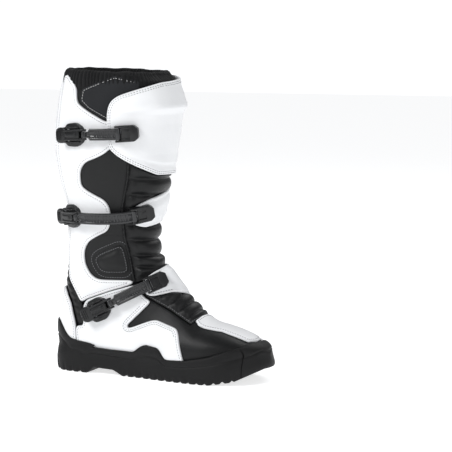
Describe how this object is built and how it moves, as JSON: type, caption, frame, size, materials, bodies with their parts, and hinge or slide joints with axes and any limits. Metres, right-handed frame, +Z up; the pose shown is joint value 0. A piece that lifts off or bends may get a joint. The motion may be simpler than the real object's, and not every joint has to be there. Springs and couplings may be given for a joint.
{
  "type": "motocross boot",
  "caption": "Right off-road riding boot: rubber cup sole, black leather and bellows upper, white hard guards, hinged shin guard and strap wings with lever buckles",
  "frame": {"origin": "on the floor under the middle of the boot's bounding box", "axes": "+X to the toe, +Z up, outer (lateral) side of the right foot towards -Y"},
  "size_m": [0.2972, 0.1402, 0.392],
  "materials": {
    "white_guard": "satin moulded polyurethane with fine grain",
    "black_leather": "grained synthetic leather",
    "knit": "ribbed elastic knit",
    "charcoal_fabric": "woven mesh",
    "rubber": "moulded matt rubber",
    "buckle": "moulded nylon, satin",
    "steel": "turned steel",
    "board": "pressed fibre board"
  },
  "bodies": {
    "foot": {"outsole": "rubber", "toe_cap": "rubber", "shank": "steel", "lasting_board": "board", "footbed": "charcoal_fabric", "vamp": "black_leather", "toe_patch": "white_guard", "lateral_foot_guard": "white_guard", "medial_foot_guard": "white_guard", "heel_counter": "white_guard", "instep_bellows": "black_leather", "heel_bellows": "black_leather", "foot_lining": "charcoal_fabric", "lower_buckle_base": "buckle", "lower_catch_pin": "steel"},
    "shaft": {"collar": "knit", "lateral_shaft_leather": "black_leather", "medial_calf_panel": "black_leather", "medial_mesh_panel": "charcoal_fabric", "shin_pad": "black_leather", "shin_bellows": "black_leather", "lateral_ankle_leather": "black_leather", "medial_ankle_leather": "black_leather", "ankle_lining": "charcoal_fabric", "leg_lining": "charcoal_fabric", "lateral_shaft_frame": "white_guard", "lateral_ankle_frame": "white_guard", "ankle_pad": "black_leather", "calf_plate": "white_guard", "collar_flap": "charcoal_fabric", "upper_buckle_base": "buckle", "upper_catch_pin": "steel", "mid_buckle_base": "buckle", "mid_catch_pin": "steel"},
    "shin_guard": {"shin_guard": "white_guard", "upper_clasp": "buckle", "upper_clasp_pin": "steel", "upper_clasp_screw": "steel"},
    "upper_strap": {"upper_strap": "buckle"},
    "upper_lever": {"upper_lever": "buckle", "upper_lever_pin": "steel"},
    "mid_wing": {"mid_wing": "white_guard", "mid_clasp": "buckle", "mid_clasp_pin": "steel", "mid_clasp_screw": "steel"},
    "mid_strap": {"mid_strap": "buckle"},
    "mid_lever": {"mid_lever": "buckle", "mid_lever_pin": "steel"},
    "lower_wing": {"lower_wing": "white_guard", "lower_clasp": "buckle", "lower_clasp_pin": "steel", "lower_clasp_screw": "steel"},
    "lower_strap": {"lower_strap": "buckle"},
    "lower_lever": {"lower_lever": "buckle", "lower_lever_pin": "steel"}
  },
  "joints": [
    {"name": "ankle_flex", "type": "hinge", "parent": "foot", "child": "shaft", "pos_m": [-0.07644, 0.00632, 0.15], "axis": [0, 1, 0], "range_deg": [-3, 10], "stiffness_Nm_per_rad": 30, "deforming": ["shin_bellows", "lateral_ankle_leather", "medial_ankle_leather", "ankle_lining", "heel_bellows", "lateral_ankle_frame", "ankle_pad"]},
    {"name": "shin_guard_hinge", "type": "hinge", "parent": "shaft", "child": "shin_guard", "pos_m": [-0.02894, 0.06932, 0.3355], "axis": [0.0963, -0.0214, 0.9951], "range_deg": [0, 50]},
    {"name": "upper_strap_swing", "type": "hinge", "parent": "shin_guard", "child": "upper_strap", "pos_m": [-0.03225, -0.06224, 0.31412], "axis": [-0.0561, -0.0509, 0.9971], "range_deg": [0, 80]},
    {"name": "upper_lever_turn", "type": "hinge", "parent": "upper_strap", "child": "upper_lever", "pos_m": [-0.07816, -0.06602, 0.31246], "axis": [-0.0553, 0.0153, 0.9984], "range_deg": [0, 95]},
    {"name": "mid_wing_hinge", "type": "hinge", "parent": "shaft", "child": "mid_wing", "pos_m": [-0.03844, 0.06482, 0.2285], "axis": [0.3217, 0.0603, 0.9449], "range_deg": [0, 45]},
    {"name": "mid_strap_swing", "type": "hinge", "parent": "mid_wing", "child": "mid_strap", "pos_m": [-0.02137, -0.03744, 0.20854], "axis": [-0.0545, -0.2736, 0.9603], "range_deg": [0, 72]},
    {"name": "mid_lever_turn", "type": "hinge", "parent": "mid_strap", "child": "mid_lever", "pos_m": [-0.09524, -0.05483, 0.20518], "axis": [-0.0578, -0.0412, 0.9975], "range_deg": [0, 95]},
    {"name": "lower_wing_hinge", "type": "hinge", "parent": "foot", "child": "lower_wing", "pos_m": [0.00456, 0.04582, 0.1145], "axis": [-0.6983, 0.0476, 0.7142], "range_deg": [0, 28]},
    {"name": "lower_strap_swing", "type": "hinge", "parent": "lower_wing", "child": "lower_strap", "pos_m": [-0.00585, -0.02835, 0.1197], "axis": [-0.4553, 0.0333, 0.8897], "range_deg": [0, 78.4]},
    {"name": "lower_lever_turn", "type": "hinge", "parent": "lower_strap", "child": "lower_lever", "pos_m": [-0.05252, -0.04361, 0.0957], "axis": [-0.4499, -0.0069, 0.8931], "range_deg": [0, 80]}
  ],
  "couplings": [
    {"joint": "upper_strap_swing", "follows": "shin_guard_hinge", "ratio": 1.6},
    {"joint": "mid_strap_swing", "follows": "mid_wing_hinge", "ratio": 1.6},
    {"joint": "lower_strap_swing", "follows": "lower_wing_hinge", "ratio": 2.8}
  ]
}
